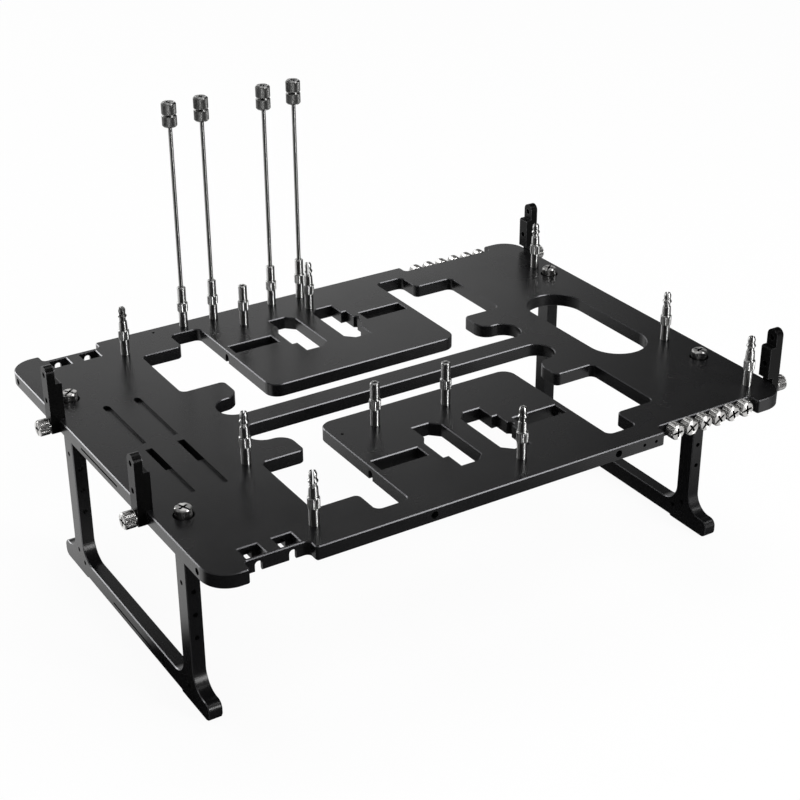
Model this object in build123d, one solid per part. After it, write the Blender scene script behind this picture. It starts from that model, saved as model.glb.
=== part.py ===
from build123d import *
import os

# Open air test bench: a milled aluminium plate on two leg frames, with screw-in
# board posts, upright rods, card brackets and spare thumbscrews along its edges.
# The bench is drawn from the near left board hole, which is x = 0, y = 0 and the
# top of the plate z = 0. The last section moves every piece so that the origin
# lies on the floor below the middle of the plate. Lengths are in millimetres.

# Standard board hole pattern, from the near left hole
column_b = 78.74
column_c = 124.46
column_d = 281.94
row_b = 72.39
row_c = 204.47
row_d = 227.33

# Plate
plate_thickness = 8.0
plate_height = 112.6
left_margin = 64.5
right_margin = 13.56
near_margin = 19.0
far_margin = 23.67
corner_radius = 14.6
edge_break = 0.5
cut_over = 1.0

# Notches in the long edges
notch_depth = 7.4
notch_inner_radius = 2.4
notch_outer_radius = 1.5
left_notch_inset = 19.5
left_notch_length = 35.5
right_notch_inset = 22.5
right_notch_length = 67.0

# Windows on both sides of the central bar
bar_width = 14.0
window_left = 6.5
window_right_inset = 57.44
side_notch_width = 26.5
side_notch_gap = 20.4
side_notch_inset = 32.5
column_width = 19.2
column_inset = 14.7
tongue_gap = 19.3
foot_reach = 19.0
foot_width = 20.3
lobe_radius = 9.0
tongue_radius = 8.0
window_radius = 3.5

# Slots and pockets in the tongues
slot_width = 15.6
slot_length = 48.3
slot_offset = 6.4
slot_near_gap = 10.0
slot_far_gap = 53.03
slot_corner = 5.0
slot_step = 3.4
slot_step_start = 12.15
slot_step_length = 24.0
slot_bite_radius = 2.4
pocket_width = 28.5
pocket_length = 10.5
pocket_inset = 3.8
pocket_near_gap = 28.4
pocket_far_gap = 34.13
strap_width = 4.0
strap_cover = 2.2

# Oval opening beside the right leg frame
oval_width = 36.5
oval_length = 96.0
oval_inset = 7.64

# Grooves and strap pockets beside the left leg frame
groove_a_x = -37.0
groove_b_x = -18.5
groove_width = 4.0
groove_depth = 1.6
groove_deep_depth = 6.2
groove_near_reach = 56.0
groove_near_length = 30.0
groove_deep_length = 23.0
groove_far_reach = 4.0
groove_far_length = 50.0
groove_hole_bore = 3.0
strap_pocket_width = 10.5
strap_pocket_length = 9.5
strap_pocket_gap = 2.0
strap_run_on = 5.0

# Leg frames
leg_thickness = 8.0
left_leg_inset = 14.3
right_leg_inset = 12.6
arm_inset = 61.3
arm_width = 11.2
bar_height = 11.4
pad_drop = 1.0
pad_length = 33.0
foot_overhang = 17.1
foot_top = 11.0
foot_tip_radius = 4.6
foot_sole_radius = 4.2
foot_fillet = 11.0
knee_radius = 12.0
leg_hole_bore = 2.8
leg_hole_pitch = 64.0
near_arm_hole = 10.0
far_arm_hole = 14.6
near_bar_hole_inset = 32.5
near_bar_hole = 5.7
far_bar_hole_inset = 7.7
far_bar_hole = 9.4
side_hole_first = 42.0
side_hole_pitch = 14.0
side_hole_count = 3
bar_slot_length = 51.0
bar_slot_height = 1.2
bar_slot_depth = 2.0
bar_slot_bottom = 4.2

# Thumbscrews
screw_diameter = 3.5
screw_bore_clearance = 0.15
head_diameter = 8.8
head_edge = 0.5
recess_width = 1.3
recess_length = 5.4
recess_depth = 1.4
drive_slot_width = 1.0
drive_slot_depth = 0.8
bolt_head_height = 7.6
bolt_length = 18.0
leg_bolt_turns = (111, 40)
counterbore_depth = 3.0
counterbore_clearance = 1.2
edge_head_height = 6.3
edge_screw_length = 7.0
edge_screw_pitch = 10.0
edge_screw_turns = (5, 35, 48, 35, 20, 10)
edge_screw_inset = 10.4
bracket_head_height = 6.9
bracket_screw_length = 11.0
bracket_screw_turns = (90, 10, 60, 25)

# Card brackets
tab_thickness = 4.8
bracket_width = 7.8
bracket_height = 32.0
bracket_drop = 7.8
block_reach = 3.6
block_top = 22.0
right_block_lift = 3.0
left_bracket_inset = 77.7
right_near_bracket_inset = 16.9
right_far_bracket_inset = 19.0
spare_bracket_inset = 17.3
bracket_hole_bore = 3.4
bracket_low_hole = 11.6
bracket_high_hole = 27.0
bracket_foot_radius = 0.5
bracket_top_flat = 0.1
block_corner_radius = 1.2

# Screw-in posts
post_diameter = 5.3
post_collar_diameter = 6.1
post_collar_bottom = 9.3
post_collar_height = 6.6
post_upper_diameter = 5.3
post_height = 25.5
post_edge = 0.4
post_groove_depth = 0.35
post_stud_length = 6.0
post_stud_diameter = 3.5
snap_top_diameter = 4.8
snap_shoulder = 21.2
snap_shoulder_ramp = 0.5
snap_neck_diameter = 3.8
snap_ring_diameter = 5.3
snap_ring_height = 24.4
snap_ring_land = 0.5
snap_ring_ramp = 0.9
snap_waist_diameter = 3.8
snap_waist_ramp = 1.1
snap_tip_height = 30.0
snap_tip_diameter = 4.3
snap_tip_length = 2.4
snap_tip_land = 1.4
snap_tip_end_diameter = 3.2
snap_bore = 1.8
snap_slit_width = 0.8
snap_slit_depth = 8.6
snap_post_turns = (58, 58, 13, 13, 58, 13, 58, 58)

# Upright rods and their knobs
rod_diameter = 2.5
rod_socket_depth = 8.0
rod_fit = 0.05
rod_first_x = 46.4
rod_pitch = 20.32
rod_inset = 5.8
ring_bottom = 126.5
ring_height = 7.0
knob_diameter = 8.4
knob_height = 7.4
knob_screw_length = 3.0
ring_seat_depth = 3.2

# Spare holes and a slot in the plate's faces
edge_hole_bore = 4.2
edge_pin_bore = 2.0
edge_hole_depth = 6.0
edge_hole_a_x = 58.0
edge_hole_b_x = 174.5
edge_pin_a_x = 192.0
edge_pin_b_x = 200.0
mark_bore = 1.8
mark_depth = 3.0
side_slot_length = 48.0
side_slot_height = 1.2
side_slot_depth = 1.6

left_edge = -left_margin
right_edge = column_d + right_margin
near_edge = -near_margin
far_edge = row_d + far_margin
middle_x = (left_edge + right_edge) / 2
middle_y = (near_edge + far_edge) / 2
screw_bore = screw_diameter + 2 * screw_bore_clearance
post_bore = post_stud_diameter + 2 * screw_bore_clearance
counterbore_diameter = head_diameter + 2 * counterbore_clearance
leg_xs = (left_edge + left_leg_inset, right_edge - right_leg_inset)
arm_ys = (near_edge + arm_inset, far_edge - arm_inset)
arm_spacing = arm_ys[1] - arm_ys[0]
near_notch_face = near_edge + notch_depth
far_notch_face = far_edge - notch_depth
edge_screw_z = -plate_thickness / 2
right_notch_start = right_edge - right_notch_inset - right_notch_length


def rounded(points):
    """A face from corner points that each carry their own radius."""
    corners = [(x, y) for x, y, radius in points]
    radii = [radius for x, y, radius in points]
    return make_face(FilletPolyline(*corners, radius=radii, close=True))


def block(x0, x1, y0, y1, z0, z1):
    """A box between two opposite corners."""
    size = (abs(x1 - x0), abs(y1 - y0), abs(z1 - z0))
    return Pos((x0 + x1) / 2, (y0 + y1) / 2, (z0 + z1) / 2) * Box(*size)


def round_bar(radius, start, axis, length):
    """A cylinder that starts at a point and runs along an axis."""
    plane = Plane(origin=start, z_dir=axis)
    return extrude(plane * Circle(radius), amount=length)


def plate_outline():
    """The plate's edge, with a notch near each end of both long sides."""
    left_notch = left_edge + left_notch_inset
    left_notch_end = left_notch + left_notch_length
    right_notch_end = right_edge - right_notch_inset
    right_notch = right_notch_start
    near_side = [
        (left_edge, near_edge, corner_radius),
        (left_notch, near_edge, notch_outer_radius),
        (left_notch, near_notch_face, notch_inner_radius),
        (left_notch_end, near_notch_face, notch_inner_radius),
        (left_notch_end, near_edge, notch_outer_radius),
        (right_notch, near_edge, notch_outer_radius),
        (right_notch, near_notch_face, notch_inner_radius),
        (right_notch_end, near_notch_face, notch_inner_radius),
        (right_notch_end, near_edge, notch_outer_radius),
        (right_edge, near_edge, corner_radius),
    ]
    far_side = [(x, 2 * middle_y - y, radius) for x, y, radius in reversed(near_side)]
    return rounded(near_side + far_side)


window_right = column_d - window_right_inset
window_middle = (window_left + window_right) / 2
tongue_left = window_left + side_notch_width + column_width
bar_far = middle_y + bar_width / 2
tongue_far = bar_far + tongue_gap


def window_outline():
    """The far window: two columns, a channel beside the bar, a notch and a round
    foot on each side. It runs round the tongue, which stays on the far rail."""
    column_left = window_left + side_notch_width
    notch_far = far_edge - side_notch_inset
    notch_near = bar_far + foot_width + side_notch_gap
    column_far = far_edge - column_inset
    foot_left = column_left - foot_reach
    foot_radius = foot_width / 2 - edge_break
    left_side = [
        (foot_left, bar_far, foot_radius),
        (foot_left, bar_far + foot_width, foot_radius),
        (column_left, bar_far + foot_width, lobe_radius),
        (column_left, notch_near, window_radius),
        (window_left, notch_near, window_radius),
        (window_left, notch_far, window_radius),
        (column_left, notch_far, window_radius),
        (column_left, column_far, window_radius),
        (tongue_left, column_far, window_radius),
        (tongue_left, tongue_far, tongue_radius),
    ]
    right_side = [(2 * window_middle - x, y, r) for x, y, r in reversed(left_side)]
    return rounded(left_side + right_side)


def tongue_slot():
    """The left of a tongue's two milled slots, about its own middle. It has cut
    corners on the tongue's middle line and a wider step on the other side."""
    x = slot_width / 2
    y = slot_length / 2
    step_start = slot_step_start - y
    step_end = step_start + slot_step_length
    points = [
        (x - slot_corner, -y),
        (x, slot_corner - y),
        (x, y - slot_corner),
        (x - slot_corner, y),
        (-x, y),
        (-x, step_end),
        (-x - slot_step, step_end - slot_corner),
        (-x - slot_step, step_start),
        (-x, step_start),
        (-x, -y),
    ]
    return make_face(Polyline(*points, close=True))


def tongue_slots(start):
    """Both slots of a tongue: the right one is the left one turned half round,
    with a small round bite in its outer wall."""
    slot = tongue_slot()
    reach = slot_offset + slot_width / 2
    middle = start + slot_length / 2
    left = Pos(window_middle - reach, middle) * slot
    right = Pos(window_middle + reach, middle) * Rot(0, 0, 180) * slot
    bite_x = window_middle + slot_offset + slot_width + slot_step
    bite = Pos(bite_x, middle) * Circle(slot_bite_radius)
    return left + right + bite


def strap_tunnel(x, y, along, length):
    """A round-topped tunnel that is open towards the plate's underside."""
    crown_middle = -strap_cover - strap_width / 2
    bottom = -plate_thickness - cut_over
    crown = Pos(0, crown_middle) * Circle(strap_width / 2)
    stem = Pos(0, (crown_middle + bottom) / 2) * Rectangle(strap_width, crown_middle - bottom)
    plane = Plane(origin=(x, y, 0), x_dir=(-along[1], along[0], 0), z_dir=along)
    return extrude(plane * (crown + stem), amount=length)


def tongue_pockets():
    """Left edges and near edges of the rectangular pockets in the tongues."""
    tongue_right = 2 * window_middle - tongue_left
    lefts = (tongue_left + pocket_inset, tongue_right - pocket_inset - pocket_width)
    nears = (pocket_near_gap, row_d - pocket_far_gap)
    return [(left, near) for left in lefts for near in nears]


def strap_pockets():
    """Middle x, near edge and tunnel start of the four small strap pockets."""
    near_side = near_notch_face + strap_pocket_gap
    far_side = far_notch_face - strap_pocket_gap - strap_pocket_length
    xs = (groove_a_x, groove_b_x)
    return [(x, near_side, 1) for x in xs] + [(x, far_side, -1) for x in xs]


def pocket(left, near, width, length):
    """The outline of a rectangular pocket."""
    return Pos(left + width / 2, near + length / 2) * Rectangle(width, length)


def plate_openings():
    """Every opening that goes straight through the plate."""
    far_window = window_outline()
    near_window = mirror(far_window, Plane(origin=(0, middle_y, 0), z_dir=(0, 1, 0)))
    oval_x = column_d - oval_inset - oval_width / 2
    oval = Pos(oval_x, middle_y) * SlotOverall(oval_length, oval_width, rotation=90)
    openings = [far_window, near_window, oval]
    openings += [tongue_slots(start) for start in (slot_near_gap, row_d - slot_far_gap)]
    for left, near in tongue_pockets():
        openings.append(pocket(left, near, pocket_width, pocket_length))
    for x, near, side in strap_pockets():
        left = x - strap_pocket_width / 2
        openings.append(pocket(left, near, strap_pocket_width, strap_pocket_length))
    return openings


def main_plate():
    blank = extrude(plate_outline(), amount=-plate_thickness)
    for opening in plate_openings():
        blank -= extrude(opening, amount=-plate_thickness)
    top = blank.faces().sort_by(Axis.Z)[-1]
    bottom = blank.faces().sort_by(Axis.Z)[0]
    blank = chamfer(top.edges() + bottom.edges(), edge_break)

    tongue_right = 2 * window_middle - tongue_left
    for near in (pocket_near_gap, row_d - pocket_far_gap):
        middle = near + pocket_length / 2
        run = pocket_inset + 2 * cut_over
        blank -= strap_tunnel(tongue_left - cut_over, middle, (1, 0, 0), run)
        blank -= strap_tunnel(tongue_right + cut_over, middle, (-1, 0, 0), run)
    strap_run = cut_over + strap_pocket_gap + strap_pocket_length + strap_run_on
    for x, near, side in strap_pockets():
        face = near_notch_face if side > 0 else far_notch_face
        blank -= strap_tunnel(x, face - side * cut_over, (0, side, 0), strap_run)
    return drilled(grooved(blank))


def grooved(plate):
    """The plate with its shallow and deep grooves and the holes at their ends."""
    near_start = middle_y - groove_near_reach
    deep_start = near_start + groove_near_length
    far_start = middle_y + groove_far_reach
    groove_end = far_start + groove_far_length
    for x in (groove_a_x, groove_b_x):
        plate -= groove(x, near_start, groove_near_length, groove_depth)
        plate -= groove(x, deep_start, groove_deep_length, groove_deep_depth)
        plate -= groove(x, far_start, groove_far_length, groove_depth)
        plate -= down_hole(x, groove_end, groove_hole_bore, plate_thickness)
    z0 = -(plate_thickness + side_slot_height) / 2
    z1 = z0 + side_slot_height
    slot_near = middle_y - side_slot_length / 2
    slot_far = middle_y + side_slot_length / 2
    plate -= block(left_edge, left_edge + side_slot_depth, slot_near, slot_far, z0, z1)
    return plate


def down_hole(x, y, bore, depth):
    """A hole drilled from the plate's top."""
    return round_bar(bore / 2, (x, y, 0), (0, 0, -1), depth)


def drilled(plate):
    """The plate with every drilled hole: board, rod, leg, edge and bracket holes."""
    for x, y in board_holes() + rod_places():
        plate -= down_hole(x, y, post_bore, plate_thickness)
    for x in leg_xs:
        for y in arm_ys:
            plate -= down_hole(x, y, counterbore_diameter, counterbore_depth)
            plate -= down_hole(x, y, screw_bore, plate_thickness)
    for x, y in ((rod_first_x - rod_pitch, far_edge - rod_inset), (edge_hole_a_x, row_b)):
        plate -= down_hole(x, y, mark_bore, mark_depth)
    for x in edge_screw_xs():
        near = (x, near_notch_face, edge_screw_z)
        far = (x, far_notch_face, edge_screw_z)
        plate -= round_bar(screw_bore / 2, near, (0, 1, 0), edge_screw_length + cut_over)
        plate -= round_bar(screw_bore / 2, far, (0, -1, 0), edge_screw_length + cut_over)
    middle_z = -plate_thickness / 2
    for x, bore in (
        (edge_hole_a_x, edge_hole_bore),
        (edge_hole_b_x, edge_hole_bore),
        (edge_pin_a_x, edge_pin_bore),
        (edge_pin_b_x, edge_pin_bore),
    ):
        plate -= round_bar(bore / 2, (x, near_edge, middle_z), (0, 1, 0), edge_hole_depth)
    depth = bracket_screw_length - tab_thickness + cut_over
    for side, edge, y in bracket_places() + spare_bracket_places():
        plate -= round_bar(screw_bore / 2, (edge, y, middle_z), (-side, 0, 0), depth)
    return plate


def groove(x, start, length, depth):
    """A flat-bottomed groove along the plate."""
    half = groove_width / 2
    return block(x - half, x + half, start, start + length, -depth, 0)


def board_holes():
    """Places of the eleven board posts in the standard pattern."""
    return snap_places() + plain_places()


def snap_places():
    left = [(0, 0), (0, row_b), (0, row_d)]
    middle = [(column_c, 0), (column_c, row_d)]
    right = [(column_d, 0), (column_d, row_b), (column_d, row_c)]
    return left + middle + right


def plain_places():
    return [(column_b, row_b), (column_c, row_b), (column_b, row_d)]


def rod_places():
    """Four of the five evenly spaced places along the far edge hold a rod."""
    y = far_edge - rod_inset
    return [(rod_first_x + place * rod_pitch, y) for place in (0, 1, 3, 4)]


def edge_screw_xs():
    first = right_notch_start + edge_screw_inset
    return [first + number * edge_screw_pitch for number in range(len(edge_screw_turns))]


def bracket_places():
    """Side, plate edge and y of the four card brackets."""
    left_near = (-1, left_edge, near_edge + left_bracket_inset)
    left_far = (-1, left_edge, far_edge - left_bracket_inset)
    right_near = (1, right_edge, near_edge + right_near_bracket_inset)
    right_far = (1, right_edge, far_edge - right_far_bracket_inset)
    return [left_near, left_far, right_near, right_far]


def spare_bracket_places():
    """The left side also has an empty hole near each of its ends."""
    ys = (near_edge + spare_bracket_inset, far_edge - spare_bracket_inset)
    return [(-1, left_edge, y) for y in ys]


def leg_frame():
    """One leg frame in its own plane: u runs along y from the middle of the
    plate, v is the height above the floor. It is extruded to its thickness."""
    arm_outer = arm_spacing / 2 + arm_width / 2
    arm_inner = arm_spacing / 2 - arm_width / 2
    tip = arm_outer + foot_overhang
    pad_end = tip - pad_length
    arm_top = plate_height - plate_thickness
    half = [
        (pad_end, pad_drop, 0),
        (pad_end + pad_drop, 0, 0),
        (tip, 0, foot_sole_radius),
        (tip, foot_top, foot_tip_radius),
        (arm_outer, foot_top, foot_fillet),
        (arm_outer, arm_top, 0),
        (arm_inner, arm_top, 0),
        (arm_inner, bar_height, knee_radius),
    ]
    other = [(-u, v, radius) for u, v, radius in reversed(half)]
    profile = rounded(half + other)
    frame = extrude(Plane.YZ * profile, amount=leg_thickness / 2, both=True)
    frame = chamfer(flat_side_edges(frame), edge_break)

    near_arm = -arm_spacing / 2
    far_arm = arm_spacing / 2
    face_holes = [
        (near_arm, near_arm_hole),
        (near_arm, near_arm_hole + leg_hole_pitch),
        (near_arm + near_bar_hole_inset, near_bar_hole),
        (far_arm, far_arm_hole),
        (far_arm, far_arm_hole + leg_hole_pitch),
        (far_arm - far_bar_hole_inset, far_bar_hole),
    ]
    bore = leg_hole_bore / 2
    outer_face = -leg_thickness / 2
    for u, v in face_holes:
        frame -= round_bar(bore, (outer_face, u, v), (1, 0, 0), leg_thickness)
    half_slot = bar_slot_length / 2
    slot_top = bar_slot_bottom + bar_slot_height
    slot_floor = outer_face + bar_slot_depth
    frame -= block(outer_face, slot_floor, -half_slot, half_slot, bar_slot_bottom, slot_top)
    for number in range(side_hole_count):
        v = side_hole_first + number * side_hole_pitch
        frame -= round_bar(bore, (0, -arm_outer, v), (0, 1, 0), arm_width)
        frame -= round_bar(bore, (0, arm_inner, v), (0, 1, 0), arm_width)
    depth = bolt_length - (plate_thickness - counterbore_depth) + cut_over
    for u in (near_arm, far_arm):
        frame -= round_bar(screw_bore / 2, (0, u, arm_top), (0, 0, -1), depth)
    return frame


def flat_side_edges(frame):
    """Edges of a leg frame's two broad faces."""
    broad = frame.faces().sort_by(Axis.X)
    return broad[0].edges() + broad[-1].edges()


def turned(points):
    """A solid of revolution about z from (radius, height) points."""
    return revolve(Plane.XZ * make_face(Polyline(*points, close=True)), Axis.Z)


def driver_recess(diameter, height):
    """The cross-shaped cut in a screw's end face, with a slot right across it."""
    arm = Box(recess_length, recess_width, recess_depth)
    cross = Pos(0, 0, height - recess_depth / 2) * (arm + Rot(0, 0, 90) * arm)
    slot = Box(diameter, drive_slot_width, drive_slot_depth)
    return cross + Pos(0, 0, height - drive_slot_depth / 2) * slot


def thumbscrew(diameter, height, length):
    """A knurled thumbscrew that stands on z = 0, with its shank below."""
    radius = diameter / 2
    shank = screw_diameter / 2
    points = [
        (0, -length),
        (shank - head_edge, -length),
        (shank, -length + head_edge),
        (shank, 0),
        (radius - head_edge, 0),
        (radius, head_edge),
        (radius, height - head_edge),
        (radius - head_edge, height),
        (0, height),
    ]
    return turned(points) - driver_recess(diameter, height)


def shank_and_collar():
    """The turned outline that both kinds of post share, from the stud up."""
    stud = post_stud_diameter / 2
    body = post_diameter / 2
    collar = post_collar_diameter / 2
    upper = post_upper_diameter / 2
    collar_top = post_collar_bottom + post_collar_height
    return [
        (0, -post_stud_length),
        (stud - post_edge, -post_stud_length),
        (stud, post_edge - post_stud_length),
        (stud, 0),
        (body, 0),
        (body, post_collar_bottom),
        (collar, post_collar_bottom + post_edge),
        (collar, collar_top - post_edge),
        (collar - post_edge, collar_top),
        (upper - post_groove_depth, collar_top),
        (upper - post_groove_depth, collar_top + post_edge),
        (upper, collar_top + 2 * post_edge),
    ]


def plain_post():
    """A post with a flat top and a hole down its middle."""
    upper = post_upper_diameter / 2
    points = shank_and_collar() + [
        (upper, post_height - post_edge),
        (upper - post_edge, post_height),
        (0, post_height),
    ]
    hole = round_bar(rod_diameter / 2 + rod_fit, (0, 0, post_height), (0, 0, -1), rod_socket_depth)
    return turned(points) - hole


def snap_post():
    """A post with a barbed tip that a board snaps over. The tip is bored and
    slit into four prongs."""
    top = snap_top_diameter / 2
    neck = snap_neck_diameter / 2
    ring = snap_ring_diameter / 2
    waist = snap_waist_diameter / 2
    tip = snap_tip_diameter / 2
    ring_top = snap_ring_height + snap_ring_land
    points = shank_and_collar() + [
        (top, snap_shoulder),
        (neck, snap_shoulder + snap_shoulder_ramp),
        (neck, snap_ring_height - snap_ring_ramp),
        (ring, snap_ring_height),
        (ring, ring_top),
        (waist, ring_top + snap_waist_ramp),
        (tip, snap_tip_height - snap_tip_length),
        (tip, snap_tip_height - snap_tip_land),
        (snap_tip_end_diameter / 2, snap_tip_height),
        (0, snap_tip_height),
    ]
    slit = Box(post_collar_diameter, snap_slit_width, snap_slit_depth)
    bore = Cylinder(snap_bore / 2, snap_slit_depth)
    cut = slit + Rot(0, 0, 90) * slit + bore
    return turned(points) - Pos(0, 0, snap_tip_height - snap_slit_depth / 2) * cut


def rod():
    """A plain rod from the post's socket up into the knob ring."""
    start = post_height - rod_socket_depth
    end = ring_bottom + ring_height - ring_seat_depth
    bar = round_bar(rod_diameter / 2, (0, 0, start), (0, 0, 1), end - start)
    return chamfer(bar.edges(), post_edge / 2)


def knob_ring():
    """The lower half of a rod's knob, bored for the rod and for the screw."""
    radius = knob_diameter / 2
    points = [
        (0, 0),
        (radius - head_edge, 0),
        (radius, head_edge),
        (radius, ring_height - head_edge),
        (radius - head_edge, ring_height),
        (0, ring_height),
    ]
    bore_depth = ring_height - ring_seat_depth
    ring = turned(points)
    ring -= round_bar(rod_diameter / 2 + rod_fit, (0, 0, 0), (0, 0, 1), bore_depth)
    ring -= round_bar(screw_bore / 2, (0, 0, ring_height), (0, 0, -1), ring_seat_depth)
    return ring


def card_bracket(side, lift):
    """An upright bracket: an outer tab against the plate's side, with a rounded
    top and two holes, and a block on its inner side above the plate."""
    half = bracket_width / 2
    x0 = 0
    x1 = side * tab_thickness
    tab_points = [
        (-half, -bracket_drop, bracket_foot_radius),
        (half, -bracket_drop, bracket_foot_radius),
        (half, bracket_height, half - bracket_top_flat),
        (-half, bracket_height, half - bracket_top_flat),
    ]
    tab = extrude(Plane.YZ * rounded(tab_points), amount=x1)
    inner = block(-side * block_reach, x0, -half, half, lift, block_top)
    outer_edge = inner.edges().filter_by(Axis.Y).group_by(Axis.Z)[-1]
    corner = outer_edge.sort_by(lambda edge: side * edge.center().X)[0]
    inner = fillet(corner, block_corner_radius)
    bracket = tab + inner
    for height in (bracket_low_hole, bracket_high_hole):
        start = (-side * block_reach, 0, height)
        run = tab_thickness + block_reach
        bracket -= round_bar(bracket_hole_bore / 2, start, (side, 0, 0), run)
    start = (x0, 0, -plate_thickness / 2)
    bracket -= round_bar(screw_bore / 2, start, (side, 0, 0), tab_thickness)
    return bracket


def placed_pieces():
    """Every piece in its place, by its name."""
    pieces = {"main_plate": main_plate()}
    frame = leg_frame()
    floor = -plate_height
    pieces["left_leg_frame"] = Pos(leg_xs[0], middle_y, floor) * frame
    pieces["right_leg_frame"] = Pos(leg_xs[1], middle_y, floor) * Rot(0, 0, 180) * frame

    bolt = thumbscrew(head_diameter, bolt_head_height, bolt_length)
    for side, x in zip(("left", "right"), leg_xs):
        for end, y, turn in zip(("near", "far"), arm_ys, leg_bolt_turns):
            place = Pos(x, y, -counterbore_depth) * Rot(0, 0, turn)
            pieces[f"{side}_{end}_leg_bolt"] = place * bolt

    edge_screw = thumbscrew(head_diameter, edge_head_height, edge_screw_length)
    for number, (x, turn) in enumerate(zip(edge_screw_xs(), edge_screw_turns), 1):
        near = Pos(x, near_notch_face, edge_screw_z) * Rot(90, 0, 0)
        far = Pos(x, far_notch_face, edge_screw_z) * Rot(-90, 0, 0)
        screw = Rot(0, 0, turn) * edge_screw
        pieces[f"near_edge_thumbscrew_{number}"] = near * screw
        pieces[f"far_edge_thumbscrew_{number}"] = far * screw

    bracket_screw = thumbscrew(head_diameter, bracket_head_height, bracket_screw_length)
    names = ("left_near", "left_far", "right_near", "right_far")
    for name, (side, edge, y), turn in zip(names, bracket_places(), bracket_screw_turns):
        lift = right_block_lift if side > 0 else 0
        face = edge + side * tab_thickness
        pieces[f"{name}_card_bracket"] = Pos(edge, y, 0) * card_bracket(side, lift)
        place = Pos(face, y, -plate_thickness / 2) * Rot(0, side * 90, 0) * Rot(0, 0, turn)
        pieces[f"{name}_bracket_thumbscrew"] = place * bracket_screw

    snap = snap_post()
    for number, ((x, y), turn) in enumerate(zip(snap_places(), snap_post_turns), 1):
        pieces[f"snap_board_post_{number}"] = Pos(x, y, 0) * Rot(0, 0, turn) * snap
    plain = plain_post()
    for number, (x, y) in enumerate(plain_places(), 1):
        pieces[f"plain_board_post_{number}"] = Pos(x, y, 0) * plain

    upright = rod()
    ring = knob_ring()
    knob_screw = thumbscrew(knob_diameter, knob_height, knob_screw_length)
    for number, (x, y) in enumerate(rod_places(), 1):
        pieces[f"rod_post_{number}"] = Pos(x, y, 0) * plain
        pieces[f"upright_rod_{number}"] = Pos(x, y, 0) * upright
        pieces[f"rod_knob_ring_{number}"] = Pos(x, y, ring_bottom) * ring
        pieces[f"rod_knob_screw_{number}"] = Pos(x, y, ring_bottom + ring_height) * knob_screw
    return pieces


os.makedirs("parts", exist_ok=True)
to_bench_frame = Pos(-middle_x, -middle_y, plate_height)
for piece_name, piece in placed_pieces().items():
    export_step(to_bench_frame * piece, f"parts/{piece_name}.step")
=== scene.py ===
import bpy
import bmesh
import math
from mathutils import Matrix, Vector


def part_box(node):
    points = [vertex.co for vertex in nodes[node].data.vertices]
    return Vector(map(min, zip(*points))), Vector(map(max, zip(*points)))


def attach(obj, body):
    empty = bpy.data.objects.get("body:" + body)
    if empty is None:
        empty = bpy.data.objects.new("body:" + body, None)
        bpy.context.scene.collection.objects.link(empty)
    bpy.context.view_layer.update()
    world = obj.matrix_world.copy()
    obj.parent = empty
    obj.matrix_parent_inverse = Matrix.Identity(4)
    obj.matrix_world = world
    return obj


# Open air test bench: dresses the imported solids, adds the knurls and sets the studio.
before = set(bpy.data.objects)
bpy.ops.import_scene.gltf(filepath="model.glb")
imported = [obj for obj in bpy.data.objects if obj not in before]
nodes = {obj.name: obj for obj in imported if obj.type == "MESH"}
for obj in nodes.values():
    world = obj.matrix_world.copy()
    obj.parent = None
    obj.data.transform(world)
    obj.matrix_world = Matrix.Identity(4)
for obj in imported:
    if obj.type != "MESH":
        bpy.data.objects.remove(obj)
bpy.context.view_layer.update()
millimetre = 0.001
waveRepeat = 0.314  # metres between two waves of a wave texture at scale 1
noiseLow, noiseHigh = 0.3, 0.7  # the part of a noise texture's range that it mostly fills
print("stage: frame loaded with", len(nodes), "nodes")


def linearColour(hexText):
    # an sRGB hex value as the linear colour that Blender's sockets take
    parts = [int(hexText[i:i + 2], 16) / 255 for i in (1, 3, 5)]
    return [c / 12.92 if c <= 0.04045 else ((c + 0.055) / 1.055) ** 2.4 for c in parts] + [1.0]


def addNode(tree, kind, inputs=None, **settings):
    # adds a node, sets its fields, and sets or links its inputs
    node = tree.nodes.new(kind)
    for field, value in settings.items():
        setattr(node, field, value)
    for name, value in (inputs or {}).items():
        if isinstance(value, bpy.types.NodeSocket):
            tree.links.new(value, node.inputs[name])
        else:
            node.inputs[name].default_value = value
    return node


def newMaterial(name):
    material = bpy.data.materials.new(name)
    material.use_nodes = True
    tree = material.node_tree
    tree.nodes.clear()
    place = addNode(tree, "ShaderNodeTexCoord").outputs["Object"]
    return material, tree, place


def finishMaterial(material, tree, surface):
    addNode(tree, "ShaderNodeOutputMaterial", {"Surface": surface})
    return material


# Anodised aluminium, bead-blasted and dyed black: a fine even grain with a soft satin
# sheen at low angles, cutter lines on its milled walls, and broken edges where the thin
# dye lets the bright metal through, so that they catch the light as pale lines.
blastedBlack = {
    "dye": "#0b0b0c",
    "dyeWorn": "#131314",
    "edge": "#626264",
    "edgeMetal": 0.85,
    "edgeRoughness": 0.26,
    "edgeWidth": 0.35,       # mm, on sharp edges that have no chamfer
    "edgeLikeness": 0.96,    # below this likeness of the rounded and the flat normal lies an edge
    "chamferLean": 0.707,    # a chamfer's normal along the axis it leans from
    "chamferSpread": 0.03,
    "wallLean": 0.3,         # a milled wall's normal points up by less than this
    "patchSize": 45.0,       # mm, slow change of the dye's depth
    "grainSize": 0.7,        # mm, drawn coarser than the real 0.1 mm blast marks
    "grainDepth": 0.012,     # mm
    "cutterPitch": 1.1,      # mm, drawn coarser than the real 0.2 mm lines
    "cutterDepth": 0.012,    # mm
    "roughness": 0.26,
    "roughnessSpread": 0.03,
    "shine": 0.42,
}
bracketBlack = {**blastedBlack, "dye": "#040404", "dyeWorn": "#080808", "shine": 0.1}


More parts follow.
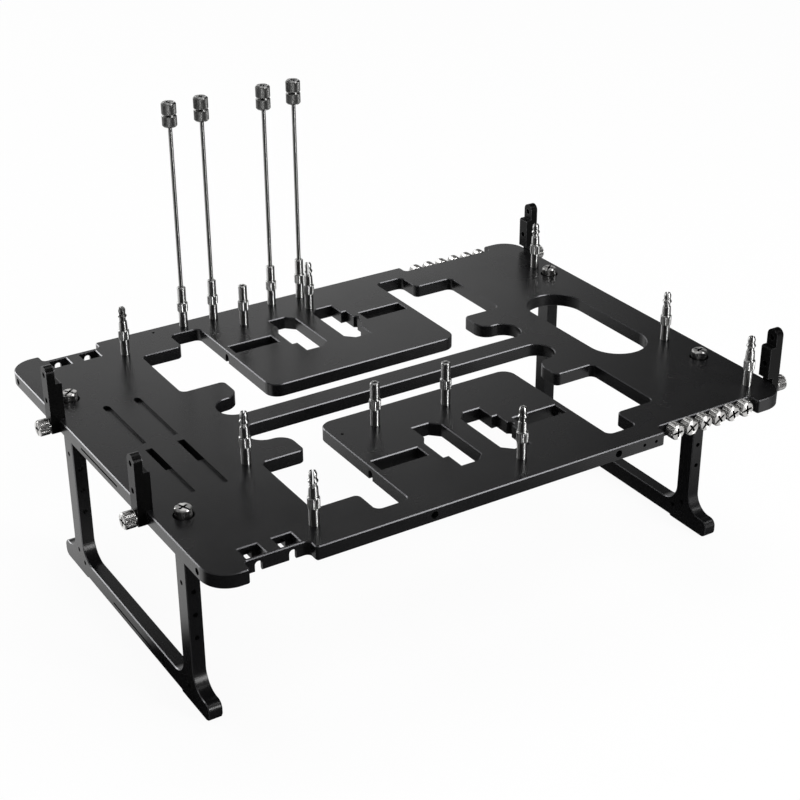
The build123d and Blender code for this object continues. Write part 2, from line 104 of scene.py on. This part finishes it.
def blastedAnodisedAluminium(name, look, chamferAxis=None):
    material, tree, place = newMaterial(name)
    normal = addNode(tree, "ShaderNodeTexCoord").outputs["Normal"]
    axes = addNode(tree, "ShaderNodeSeparateXYZ", {"Vector": normal})
    upward = addNode(tree, "ShaderNodeMath", {0: axes.outputs["Z"]}, operation="ABSOLUTE").outputs[0]
    patches = addNode(tree, "ShaderNodeTexNoise", {
        "Vector": place, "Scale": 1 / (look["patchSize"] * millimetre), "Detail": 3.0, "Roughness": 0.55,
    }).outputs["Fac"]
    dye = addNode(tree, "ShaderNodeMix", {
        0: patches, 6: linearColour(look["dye"]), 7: linearColour(look["dyeWorn"]),
    }, data_type="RGBA").outputs[2]
    if chamferAxis:  # the chamfers lean at 45 degrees to this axis
        lean = addNode(tree, "ShaderNodeMath", {0: axes.outputs[chamferAxis]}, operation="ABSOLUTE")
        edge = addNode(tree, "ShaderNodeMath", {
            0: lean.outputs[0], 1: look["chamferLean"], 2: look["chamferSpread"],
        }, operation="COMPARE").outputs[0]
    else:  # sharp edges: where the rounded normal leaves the flat one
        rounded = addNode(tree, "ShaderNodeBevel", {"Radius": look["edgeWidth"] * millimetre}, samples=4)
        likeness = addNode(tree, "ShaderNodeVectorMath", {
            0: rounded.outputs[0], 1: normal,
        }, operation="DOT_PRODUCT").outputs["Value"]
        edge = addNode(tree, "ShaderNodeMath", {
            0: likeness, 1: look["edgeLikeness"],
        }, operation="LESS_THAN").outputs[0]
    colour = addNode(tree, "ShaderNodeMix", {
        0: edge, 6: dye, 7: linearColour(look["edge"]),
    }, data_type="RGBA").outputs[2]
    metal = addNode(tree, "ShaderNodeMath", {
        0: edge, 1: look["edgeMetal"],
    }, operation="MULTIPLY").outputs[0]
    spread = look["roughnessSpread"]
    blasted = addNode(tree, "ShaderNodeMapRange", {
        "Value": patches, "From Min": noiseLow, "From Max": noiseHigh,
        "To Min": look["roughness"] - spread, "To Max": look["roughness"] + spread,
    }).outputs["Result"]
    rough = addNode(tree, "ShaderNodeMix", {0: edge, 2: blasted, 3: look["edgeRoughness"]}).outputs[0]
    grain = addNode(tree, "ShaderNodeTexNoise", {
        "Vector": place, "Scale": 1 / (look["grainSize"] * millimetre), "Detail": 2.0, "Roughness": 0.7,
    }).outputs["Fac"]
    wall = addNode(tree, "ShaderNodeMath", {
        0: upward, 1: look["wallLean"],
    }, operation="LESS_THAN").outputs[0]
    lines = addNode(tree, "ShaderNodeTexWave", {
        "Vector": place, "Scale": waveRepeat / (look["cutterPitch"] * millimetre), "Distortion": 1.2,
        "Detail": 2.0, "Detail Scale": 0.6,
    }, wave_type="BANDS", bands_direction="Z").outputs["Fac"]
    wallLines = addNode(tree, "ShaderNodeMath", {0: lines, 1: wall}, operation="MULTIPLY").outputs[0]
    grainBump = addNode(tree, "ShaderNodeBump", {
        "Height": grain, "Distance": look["grainDepth"] * millimetre, "Strength": 1.0,
    }).outputs["Normal"]
    bump = addNode(tree, "ShaderNodeBump", {
        "Height": wallLines, "Distance": look["cutterDepth"] * millimetre, "Strength": 1.0,
        "Normal": grainBump,
    }).outputs["Normal"]
    surface = addNode(tree, "ShaderNodeBsdfPrincipled", {
        "Base Color": colour, "Metallic": metal, "Roughness": rough, "Normal": bump,
        "Specular IOR Level": look["shine"],
    }).outputs["BSDF"]
    return finishMaterial(material, tree, surface)


# Nickel-plated steel, turned on a lathe before it was plated: fine rings round the
# piece's own axis draw each highlight out into a streak across them, upright on a post
# and like a bow tie on an end face. The plate is a little cloudy. Lengths are in mm.
brightNickel = {
    "plate": "#e0dfdd", "cloud": "#cbcac8", "cloudSize": 5.0, "ringPitch": 0.7,
    "ringDepth": 0.006, "roughness": 0.36, "roughnessSpread": 0.03, "streak": 0.9,
    # the last three: the dark colour of the painted shade in the drive recess, its depth and its reach
    "paintedRecessShade": "#161616", "recessTop": 0.12, "recessReach": 3.6,
}
darkNickel = {
    "plate": "#c4c4c3", "cloud": "#b0b0af", "cloudSize": 6.0, "ringPitch": 0.9,
    "ringDepth": 0.0, "roughness": 0.3, "roughnessSpread": 0.02, "streak": 0.95,
}
greyNickel = {
    "plate": "#a2a2a1", "cloud": "#8c8c8b", "cloudSize": 4.0, "ringPitch": 0.8,
    "ringDepth": 0.004, "roughness": 0.32, "roughnessSpread": 0.03, "streak": 0.9,
    # the last three: the dark colour of the painted shade in the drive recess, its depth and its reach
    "paintedRecessShade": "#161616", "recessTop": 0.12, "recessReach": 3.2,
}


def turnedNickelPlate(name, look, axis, centre=None, endFace=None):
    material, tree, place = newMaterial(name)
    clouds = addNode(tree, "ShaderNodeTexNoise", {
        "Vector": place, "Scale": 1 / (look["cloudSize"] * millimetre), "Detail": 2.0, "Roughness": 0.5,
    }).outputs["Fac"]
    colour = addNode(tree, "ShaderNodeMix", {
        0: clouds, 6: linearColour(look["plate"]), 7: linearColour(look["cloud"]),
    }, data_type="RGBA").outputs[2]
    if endFace:  # painted shade: the drive cross and slot are darkened where shade falls down in them
        onFace = addNode(tree, "ShaderNodeMapping", {"Vector": place, "Location": -endFace}).outputs[0]
        parts = addNode(tree, "ShaderNodeSeparateXYZ", {"Vector": onFace})
        depth = addNode(tree, "ShaderNodeMath", {0: parts.outputs[axis]}, operation="ABSOLUTE").outputs[0]
        flat = [0.0 if letter == axis else 1.0 for letter in "XYZ"]
        across = addNode(tree, "ShaderNodeVectorMath", {0: onFace, 1: flat}, operation="MULTIPLY")
        radius = addNode(tree, "ShaderNodeVectorMath", {0: across.outputs[0]}, operation="LENGTH")
        sunk = addNode(tree, "ShaderNodeMath", {
            0: depth, 1: look["recessTop"] * millimetre,
        }, operation="GREATER_THAN").outputs[0]
        inside = addNode(tree, "ShaderNodeMath", {
            0: radius.outputs["Value"], 1: look["recessReach"] * millimetre,
        }, operation="LESS_THAN").outputs[0]
        paintedRecessShade = addNode(tree, "ShaderNodeMath", {0: sunk, 1: inside}, operation="MULTIPLY").outputs[0]
        colour = addNode(tree, "ShaderNodeMix", {
            0: paintedRecessShade, 6: colour, 7: linearColour(look["paintedRecessShade"]),
        }, data_type="RGBA").outputs[2]
    ringScale = waveRepeat / (look["ringPitch"] * millimetre)  # coarser than the real 0.1 mm feed
    if centre:  # rings on an end face, about the screw's own middle
        ownPlace = addNode(tree, "ShaderNodeMapping", {"Vector": place, "Location": -centre}).outputs[0]
        rings = addNode(tree, "ShaderNodeTexWave", {
            "Vector": ownPlace, "Scale": ringScale, "Distortion": 0.0,
        }, wave_type="RINGS", rings_direction=axis).outputs["Fac"]
    else:  # rings along a post or a rod
        rings = addNode(tree, "ShaderNodeTexWave", {
            "Vector": place, "Scale": ringScale, "Distortion": 0.4, "Detail": 1.0,
        }, wave_type="BANDS", bands_direction=axis).outputs["Fac"]
    bump = addNode(tree, "ShaderNodeBump", {
        "Height": rings, "Distance": look["ringDepth"] * millimetre, "Strength": 1.0,
    }).outputs["Normal"]
    spread = look["roughnessSpread"]
    rough = addNode(tree, "ShaderNodeMapRange", {
        "Value": clouds, "From Min": noiseLow, "From Max": noiseHigh,
        "To Min": look["roughness"] - spread, "To Max": look["roughness"] + spread,
    }).outputs["Result"]
    around = addNode(tree, "ShaderNodeTangent", direction_type="RADIAL", axis=axis).outputs[0]
    surface = addNode(tree, "ShaderNodeBsdfPrincipled", {
        "Base Color": colour, "Metallic": 1.0, "Roughness": rough, "Normal": bump, "Tangent": around,
        "Anisotropic": look["streak"], "Anisotropic Rotation": 0.25,  # a quarter turn, across the rings
    }).outputs["BSDF"]
    return finishMaterial(material, tree, surface)


plateFinish = blastedAnodisedAluminium("blastedBlackAnodisedPlate", blastedBlack, "Z")
legFinish = blastedAnodisedAluminium("blastedBlackAnodisedLegs", blastedBlack, "X")
bracketFinish = blastedAnodisedAluminium("blastedBlackAnodisedBrackets", bracketBlack)
postFinish = turnedNickelPlate("turnedDarkNickelPosts", darkNickel, "Z")
# drawn wire under the same plate: darker and even, so that only a thin bright line shows
rodLook = {**darkNickel, "plate": "#949493", "cloud": "#868685"}
rodFinish = turnedNickelPlate("drawnDarkNickelRods", rodLook, "Z")
# knurled collars, heads and knobs: pressed ridges, each with a bright and a dark flank
collarLook = {**darkNickel, "roughness": 0.34}
pressed = {"streak": 0.0, "ringDepth": 0.0}
headLook = {**brightNickel, **pressed, "plate": "#a6a5a3", "cloud": "#919090", "roughness": 0.26}
edgeHeadLook = {**brightNickel, **pressed, "roughness": 0.25}
knobLook = {**greyNickel, **pressed, "plate": "#7c7c7b", "cloud": "#696968", "roughness": 0.4}
collarFinish = turnedNickelPlate("knurledDarkNickelCollars", collarLook, "Z")
knurlFinish = turnedNickelPlate("knurledNickelHeads", headLook, "Z")
edgeKnurlFinish = turnedNickelPlate("knurledBrightNickelHeads", edgeHeadLook, "Y")
knobFinish = turnedNickelPlate("knurledGreyNickelKnobs", knobLook, "Z")


def isScrew(name):
    return any(word in name for word in ("thumbscrew", "leg_bolt", "knob"))


def screwAxis(name):
    if "edge_thumbscrew" in name:
        return "Y"
    return "X" if "bracket_thumbscrew" in name else "Z"


def middleOf(name):
    low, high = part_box(name)
    return (low + high) / 2


def endFaceOf(name):
    # the middle of a screw's outer end face
    low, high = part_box(name)
    end = middleOf(name)
    if "edge_thumbscrew" in name:
        end.y = low.y if name.startswith("near") else high.y
    elif "bracket_thumbscrew" in name:
        end.x = low.x if name.startswith("left") else high.x
    else:
        end.z = high.z
    return end


def finishFor(name):
    if name == "main_plate":
        return plateFinish
    if "leg_frame" in name:
        return legFinish
    if "card_bracket" in name:
        return bracketFinish
    if isScrew(name):
        look = greyNickel if "knob" in name else brightNickel
        axis, middle, endFace = screwAxis(name), middleOf(name), endFaceOf(name)
        return turnedNickelPlate("turnedNickel_" + name, look, axis, middle, endFace)
    return rodFinish if "upright_rod" in name else postFinish


for name, node in nodes.items():
    node.data.materials.clear()
    node.data.materials.append(finishFor(name))
print("stage: finishes on the solids")


def isCrest(vert, ridges):
    turn = math.atan2(vert.co.y, vert.co.x) / math.tau * 2 * ridges
    return round(turn) % 2 == 0


def raisedSleeve(name, radius, length, look, turn, foot, finish):
    # a closed sleeve of straight ridges, let into a head or a collar
    mesh = bmesh.new()
    ridges = look["ridges"]
    inner = radius - look["letIn"]
    bmesh.ops.create_circle(mesh, cap_ends=False, segments=2 * ridges, radius=inner * millimetre)
    bottomRing = list(mesh.edges)
    ring = bottomRing
    lead = look["lead"] * millimetre
    out = radius / inner
    crest = (radius + look["height"]) / radius
    steps = (
        (0, out, False),
        (lead, crest, True),
        (length * millimetre - 2 * lead, 1.0, True),
        (lead, 1 / crest, True),
        (0, 1 / out, False),
    )
    for rise, growth, crestsOnly in steps:
        grown = bmesh.ops.extrude_edge_only(mesh, edges=ring)["geom"]
        verts = [g for g in grown if isinstance(g, bmesh.types.BMVert)]
        ring = [g for g in grown if isinstance(g, bmesh.types.BMEdge)]
        bmesh.ops.translate(mesh, verts=verts, vec=(0, 0, rise))
        if crestsOnly:
            verts = [v for v in verts if isCrest(v, ridges)]
        bmesh.ops.scale(mesh, verts=verts, vec=(growth, growth, 1))
    bmesh.ops.bridge_loops(mesh, edges=bottomRing + ring)
    bmesh.ops.recalc_face_normals(mesh, faces=mesh.faces)
    bmesh.ops.transform(mesh, verts=mesh.verts, matrix=Matrix.Translation(foot) @ turn)
    data = bpy.data.meshes.new(name)
    mesh.to_mesh(data)
    mesh.free()
    piece = bpy.data.objects.new(name, data)
    bpy.context.scene.collection.objects.link(piece)
    data.materials.append(finish)
    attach(piece, "root")


# All in mm. The real knurls have about 60 ridges, too fine to show, so these have fewer.
headKnurl = {"ridges": 36, "height": 0.22, "lead": 0.3, "inset": 0.75, "letIn": 0.3}
knobKnurl = {"ridges": 34, "height": 0.2, "lead": 0.25, "inset": 0.6, "letIn": 0.3}
collarKnurl = {"ridges": 24, "height": 0.2, "lead": 0.25, "inset": 0.5, "letIn": 0.3}

headHeight = {
    "leg_bolt": 7.6,
    "edge_thumbscrew": 6.3,
    "bracket_thumbscrew": 6.9,
    "knob_screw": 7.4,
    "knob_ring": 7.0,
}
postCollar = {"aboveStudEnd": 15.3, "height": 6.6}

standing = Matrix.Identity(4)
towardNear = Matrix.Rotation(math.radians(90), 4, "X")
towardFar = Matrix.Rotation(math.radians(-90), 4, "X")
towardRight = Matrix.Rotation(math.radians(90), 4, "Y")
towardLeft = Matrix.Rotation(math.radians(-90), 4, "Y")


def dressScrew(name):
    low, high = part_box(name)
    middle = middleOf(name)
    kind = next(word for word in headHeight if word in name)
    look = knobKnurl if "knob" in name else headKnurl
    reach = (headHeight[kind] - look["inset"]) * millimetre
    if kind == "edge_thumbscrew":
        near = name.startswith("near")
        turn = towardNear if near else towardFar
        foot = Vector((middle.x, low.y + reach if near else high.y - reach, middle.z))
    elif kind == "bracket_thumbscrew":
        left = name.startswith("left")
        turn = towardLeft if left else towardRight
        foot = Vector((low.x + reach if left else high.x - reach, middle.y, middle.z))
    else:
        turn = standing
        foot = Vector((middle.x, middle.y, high.z - reach))
    radius = (high.z - low.z if kind == "bracket_thumbscrew" else high.x - low.x) / 2 / millimetre
    length = headHeight[kind] - 2 * look["inset"]
    slotName, finish = "bright_nickel_screws", knurlFinish
    if "knob" in name:
        slotName, finish = "grey_nickel_knobs", knobFinish
    elif kind == "edge_thumbscrew":
        finish = edgeKnurlFinish
    raisedSleeve(name + "_knurl", radius, length, look, turn, foot, finish)


def dressCollar(name):
    low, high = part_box(name)
    middle = middleOf(name)
    radius = (high.x - low.x) / 2 / millimetre
    bottom = low.z + (postCollar["aboveStudEnd"] + collarKnurl["inset"]) * millimetre
    length = postCollar["height"] - 2 * collarKnurl["inset"]
    foot = Vector((middle.x, middle.y, bottom))
    raisedSleeve(name + "_knurl", radius, length, collarKnurl, standing, foot, collarFinish)


for name in sorted(nodes):
    if isScrew(name):
        dressScrew(name)
    elif "post" in name:
        dressCollar(name)
print("stage: knurls on screws, knobs and collars")


# The studio: a white floor and backdrop. In a reflection they carry painted shade: the
# floor is painted dark below the bench and before it, the backdrop is painted dark overhead,
# to the right and behind the camera, and both are white behind the bench to the left. This
# painted shade gives the black metal its dark and pale faces, and the bright metal its stripes.
studio = {
    "floorSize": 12.0, "floor": "#f4f4f4", "backdrop": "#ffffff",
    "fill": 0.45,                  # strength of the world's light on matt surfaces
    "shadowShare": 0.06,           # how much of the floor that the camera sees takes shadows
    "shadeMiddle": (0.0, -0.12),   # the painted shade's dark oval below the bench, in metres
    "shadeReach": (0.19, 0.33),
    "shadeEdge": (0.75, 1.25),     # where the oval starts and stops to fade, in its own reach
    "shadeTone": 0.02,
    "overheadFade": (0.39, 0.56),  # heights of direction between which the backdrop is painted darker in a reflection
    "overheadTone": 0.02,
    # painted tones in a reflection, by the angle in degrees round the bench from +X
    "backdropTones": (
        (-172, 0.03), (-28, 0.06), (44, 0.06), (62, 1.0), (136, 1.0), (152, 0.03), (180, 0.03),
    ),
    "floorTones": (
        (-172, 0.02), (-104, 0.02), (-90, 1.0), (-42, 1.0), (-28, 0.2), (48, 0.2), (62, 1.0), (180, 1.0),
    ),
}


def seenShare(tree, path, cameraShare):
    # 1 where a reflection shows the backdrop, and the camera's share where the eye does
    mirrored = addNode(tree, "ShaderNodeMath", {
        0: path.outputs["Is Glossy Ray"], 1: path.outputs["Is Transmission Ray"],
    }, operation="MAXIMUM").outputs[0]
    direct = addNode(tree, "ShaderNodeMath", {
        0: path.outputs["Is Camera Ray"], 1: cameraShare,
    }, operation="MULTIPLY").outputs[0]
    return addNode(tree, "ShaderNodeMath", {0: direct, 1: mirrored}, operation="MAXIMUM").outputs[0]


def toneRound(tree, vector, tones):
    # a tone by the angle round the upright axis, from pairs of degrees and brightness
    turn = addNode(tree, "ShaderNodeTexGradient", {"Vector": vector}, gradient_type="RADIAL")
    ramp = addNode(tree, "ShaderNodeValToRGB", {"Fac": turn.outputs["Fac"]})
    ramp.color_ramp.interpolation = "EASE"
    stops = ramp.color_ramp.elements
    for angle, brightness in tones:
        stops.new(angle / 360 + 0.5).color = [brightness] * 3 + [1.0]
    stops[0].color = stops[-1].color
    return ramp.outputs["Color"]


def makeFloor():
    mesh = bmesh.new()
    bmesh.ops.create_grid(mesh, x_segments=1, y_segments=1, size=studio["floorSize"] / 2)
    data = bpy.data.meshes.new("studioFloor")
    mesh.to_mesh(data)
    mesh.free()
    floor = bpy.data.objects.new("studioFloor", data)
    bpy.context.scene.collection.objects.link(floor)
    material, tree, place = newMaterial("whiteFloorWithPaintedShade")
    path = addNode(tree, "ShaderNodeLightPath")
    # painted shade for reflections: a dark oval below and before the bench, times the painted tones round
    # it; the camera sees the floor white
    middle, reach = studio["shadeMiddle"], studio["shadeReach"]
    fromMiddle = addNode(tree, "ShaderNodeMapping", {
        "Vector": place, "Location": (-middle[0] / reach[0], -middle[1] / reach[1], 0.0),
        "Scale": (1 / reach[0], 1 / reach[1], 0.0),
    }).outputs[0]
    away = addNode(tree, "ShaderNodeVectorMath", {0: fromMiddle}, operation="LENGTH").outputs["Value"]
    fadeStart, fadeEnd = studio["shadeEdge"]
    tone = addNode(tree, "ShaderNodeMapRange", {
        "Value": away, "From Min": fadeStart, "From Max": fadeEnd,
        "To Min": studio["shadeTone"], "To Max": 1.0,
    }, interpolation_type="SMOOTHSTEP").outputs["Result"]
    side = toneRound(tree, place, studio["floorTones"])
    graded = addNode(tree, "ShaderNodeMath", {0: tone, 1: side}, operation="MULTIPLY").outputs[0]
    strength = addNode(tree, "ShaderNodeMath", {
        0: graded, 1: path.outputs["Is Camera Ray"],
    }, operation="MAXIMUM").outputs[0]
    white = addNode(tree, "ShaderNodeEmission", {
        "Color": linearColour(studio["backdrop"]), "Strength": strength,
    }).outputs[0]
    matt = addNode(tree, "ShaderNodeBsdfDiffuse", {"Color": linearColour(studio["floor"])}).outputs[0]
    share = seenShare(tree, path, 1 - studio["shadowShare"])
    surface = addNode(tree, "ShaderNodeMixShader", {0: share, 1: matt, 2: white}).outputs[0]
    data.materials.append(finishMaterial(material, tree, surface))


def makeWorld():
    world = bpy.data.worlds.new("studioWorld")
    bpy.context.scene.world = world
    world.use_nodes = True
    tree = world.node_tree
    tree.nodes.clear()
    path = addNode(tree, "ShaderNodeLightPath")
    # painted reflection: the backdrop that metal shows darkens overhead and by angle round the bench, while
    # its light on matt surfaces stays even
    direction = addNode(tree, "ShaderNodeTexCoord").outputs["Generated"]
    height = addNode(tree, "ShaderNodeSeparateXYZ", {"Vector": direction}).outputs["Z"]
    fadeStart, fadeEnd = studio["overheadFade"]
    low = addNode(tree, "ShaderNodeMapRange", {
        "Value": height, "From Min": fadeStart, "From Max": fadeEnd,
        "To Min": 1.0, "To Max": studio["overheadTone"],
    }, interpolation_type="SMOOTHSTEP").outputs["Result"]
    side = toneRound(tree, direction, studio["backdropTones"])
    tone = addNode(tree, "ShaderNodeMath", {0: low, 1: side}, operation="MULTIPLY").outputs[0]
    strength = addNode(tree, "ShaderNodeMath", {
        0: tone, 1: path.outputs["Is Camera Ray"],
    }, operation="MAXIMUM").outputs[0]
    backdrop = linearColour(studio["backdrop"])
    fill = addNode(tree, "ShaderNodeBackground", {"Color": backdrop, "Strength": studio["fill"]}).outputs[0]
    white = addNode(tree, "ShaderNodeBackground", {"Color": backdrop, "Strength": strength}).outputs[0]
    share = seenShare(tree, path, 1.0)
    surface = addNode(tree, "ShaderNodeMixShader", {0: share, 1: fill, 2: white}).outputs[0]
    addNode(tree, "ShaderNodeOutputWorld", {"Surface": surface})


# Soft box lamps: sizes in metres, power in watts.
bench = (0.0, 0.0, 0.1)
softLamps = {
    "overhead": {"place": (0.1, 0.4, 1.9), "aim": bench, "size": (1.2, 1.2), "power": 12.0},
    "left": {"place": (-0.95, 1.75, 0.5), "aim": bench, "size": (0.8, 0.8), "power": 10.0},
    "frontRight": {"place": (0.94, -0.92, 1.6), "aim": bench, "size": (0.7, 0.7), "power": 8.0},
    # low and narrow: it draws the bright stripe down each post and rod
    "frontStrip": {
        "place": (0.5, -1.25, 0.34), "aim": (0.0, 0.0, 0.12), "size": (0.34, 0.5), "power": 12.0,
    },
}


def makeLamps():
    for name, lamp in softLamps.items():
        light = bpy.data.lights.new(name + "Lamp", "AREA")
        light.shape = "RECTANGLE"
        light.size, light.size_y = lamp["size"]
        light.energy = lamp["power"]
        holder = bpy.data.objects.new(name + "Lamp", light)
        bpy.context.scene.collection.objects.link(holder)
        holder.location = lamp["place"]
        aim = Vector(lamp["aim"]) - Vector(lamp["place"])
        holder.rotation_euler = aim.to_track_quat("-Z", "Y").to_euler()


# The camera stands where the photograph's was, found from the eleven board posts.
photoCamera = {
    "place": (-0.4484, -0.73078, 0.54159),
    "turn": (62.6536, 0.2299, -32.0088),
    "lens": 75.198,
    "sensor": 36.0,
    "farClip": 50.0,
}


def makeCamera():
    lens = bpy.data.cameras.new("photoCamera")
    lens.lens = photoCamera["lens"]
    lens.sensor_width = photoCamera["sensor"]
    lens.clip_end = photoCamera["farClip"]
    camera = bpy.data.objects.new("photoCamera", lens)
    bpy.context.scene.collection.objects.link(camera)
    camera.location = photoCamera["place"]
    camera.rotation_euler = [math.radians(angle) for angle in photoCamera["turn"]]
    bpy.context.scene.camera = camera


makeFloor()
makeWorld()
makeLamps()
makeCamera()
bpy.context.scene.view_settings.view_transform = "Standard"
print("stage: studio, lamps and camera")
